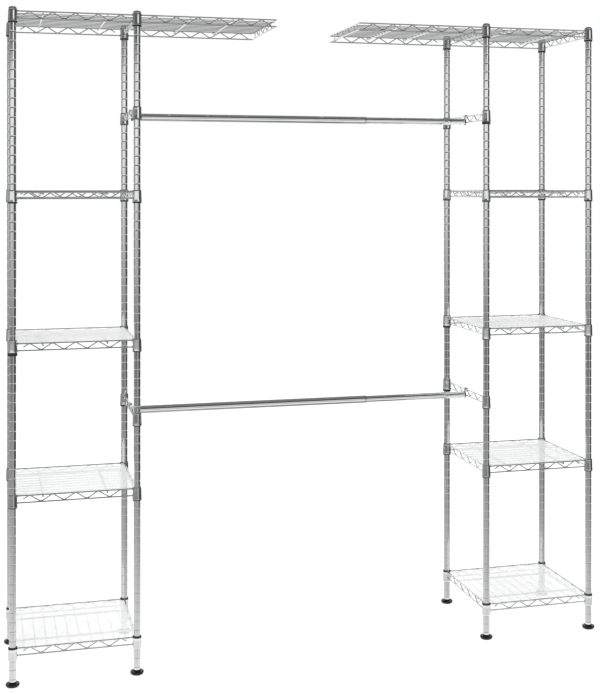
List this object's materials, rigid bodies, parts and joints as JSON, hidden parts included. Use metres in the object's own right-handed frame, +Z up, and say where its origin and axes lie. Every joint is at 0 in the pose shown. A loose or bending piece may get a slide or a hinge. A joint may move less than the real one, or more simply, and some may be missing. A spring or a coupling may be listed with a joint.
{
  "type": "open frame wardrobe",
  "caption": "Open frame wardrobe: two wire-shelf towers on grooved poles, joined by telescoping hanging rods, with long top shelves that reach towards each other.",
  "frame": {"origin": "on the floor, in the middle of the overall width and depth at the pictured width", "axes": "X to the right along the rods, Y to the rear (the front faces -Y), Z up"},
  "size_m": [1.7212, 0.366, 1.8132],
  "materials": {
    "chrome": "bright plated wire and tube",
    "rod_chrome": "bright plated tube",
    "foot_black": "smooth black, low gloss",
    "fitting_black": "satin black",
    "liner": "translucent milky sheet"
  },
  "bodies": {
    "left_tower": {"left_outer_front_pole": "chrome", "left_outer_front_cap": "chrome", "left_outer_rear_pole": "chrome", "left_outer_rear_cap": "chrome", "left_inner_front_pole": "chrome", "left_inner_front_cap": "chrome", "left_inner_rear_pole": "chrome", "left_inner_rear_cap": "chrome", "left_bottom_shelf": "chrome", "left_bottom_liner": "liner", "left_low_shelf": "chrome", "left_low_liner": "liner", "left_middle_shelf": "chrome", "left_middle_liner": "liner", "left_high_shelf": "chrome", "left_high_liner": "liner", "left_top_shelf": "chrome", "left_lower_bracket": "chrome", "left_lower_rod_hook": "fitting_black", "left_lower_rod_tube": "rod_chrome", "left_upper_bracket": "chrome", "left_upper_rod_hook": "fitting_black", "left_upper_rod_tube": "rod_chrome"},
    "right_tower": {"right_outer_front_pole": "chrome", "right_outer_front_cap": "chrome", "right_outer_rear_pole": "chrome", "right_outer_rear_cap": "chrome", "right_inner_front_pole": "chrome", "right_inner_front_cap": "chrome", "right_inner_rear_pole": "chrome", "right_inner_rear_cap": "chrome", "right_bottom_shelf": "chrome", "right_bottom_liner": "liner", "right_low_shelf": "chrome", "right_low_liner": "liner", "right_middle_shelf": "chrome", "right_middle_liner": "liner", "right_high_shelf": "chrome", "right_high_liner": "liner", "right_top_shelf": "chrome", "right_lower_bracket": "chrome", "right_lower_rod_hook": "fitting_black", "right_lower_rod_tube": "rod_chrome", "right_upper_bracket": "chrome", "right_upper_rod_hook": "fitting_black", "right_upper_rod_tube": "rod_chrome"},
    "left_outer_front_levelling_foot": {"left_outer_front_foot": "foot_black"},
    "left_outer_rear_levelling_foot": {"left_outer_rear_foot": "foot_black"},
    "left_inner_front_levelling_foot": {"left_inner_front_foot": "foot_black"},
    "left_inner_rear_levelling_foot": {"left_inner_rear_foot": "foot_black"},
    "right_outer_front_levelling_foot": {"right_outer_front_foot": "foot_black"},
    "right_outer_rear_levelling_foot": {"right_outer_rear_foot": "foot_black"},
    "right_inner_front_levelling_foot": {"right_inner_front_foot": "foot_black"},
    "right_inner_rear_levelling_foot": {"right_inner_rear_foot": "foot_black"}
  },
  "joints": [
    {"name": "width_slide", "type": "slide", "parent": "left_tower", "child": "right_tower", "axis": [1, 0, 0], "range_m": [-0.2376, 0.397]},
    {"name": "left_outer_front_foot_screw", "type": "slide", "parent": "left_tower", "child": "left_outer_front_levelling_foot", "axis": [0, 0, -1], "range_m": [0, 0.01]},
    {"name": "left_outer_rear_foot_screw", "type": "slide", "parent": "left_tower", "child": "left_outer_rear_levelling_foot", "axis": [0, 0, -1], "range_m": [0, 0.01]},
    {"name": "left_inner_front_foot_screw", "type": "slide", "parent": "left_tower", "child": "left_inner_front_levelling_foot", "axis": [0, 0, -1], "range_m": [0, 0.01]},
    {"name": "left_inner_rear_foot_screw", "type": "slide", "parent": "left_tower", "child": "left_inner_rear_levelling_foot", "axis": [0, 0, -1], "range_m": [0, 0.01]},
    {"name": "right_outer_front_foot_screw", "type": "slide", "parent": "right_tower", "child": "right_outer_front_levelling_foot", "axis": [0, 0, -1], "range_m": [0, 0.01]},
    {"name": "right_outer_rear_foot_screw", "type": "slide", "parent": "right_tower", "child": "right_outer_rear_levelling_foot", "axis": [0, 0, -1], "range_m": [0, 0.01]},
    {"name": "right_inner_front_foot_screw", "type": "slide", "parent": "right_tower", "child": "right_inner_front_levelling_foot", "axis": [0, 0, -1], "range_m": [0, 0.01]},
    {"name": "right_inner_rear_foot_screw", "type": "slide", "parent": "right_tower", "child": "right_inner_rear_levelling_foot", "axis": [0, 0, -1], "range_m": [0, 0.01]}
  ]
}
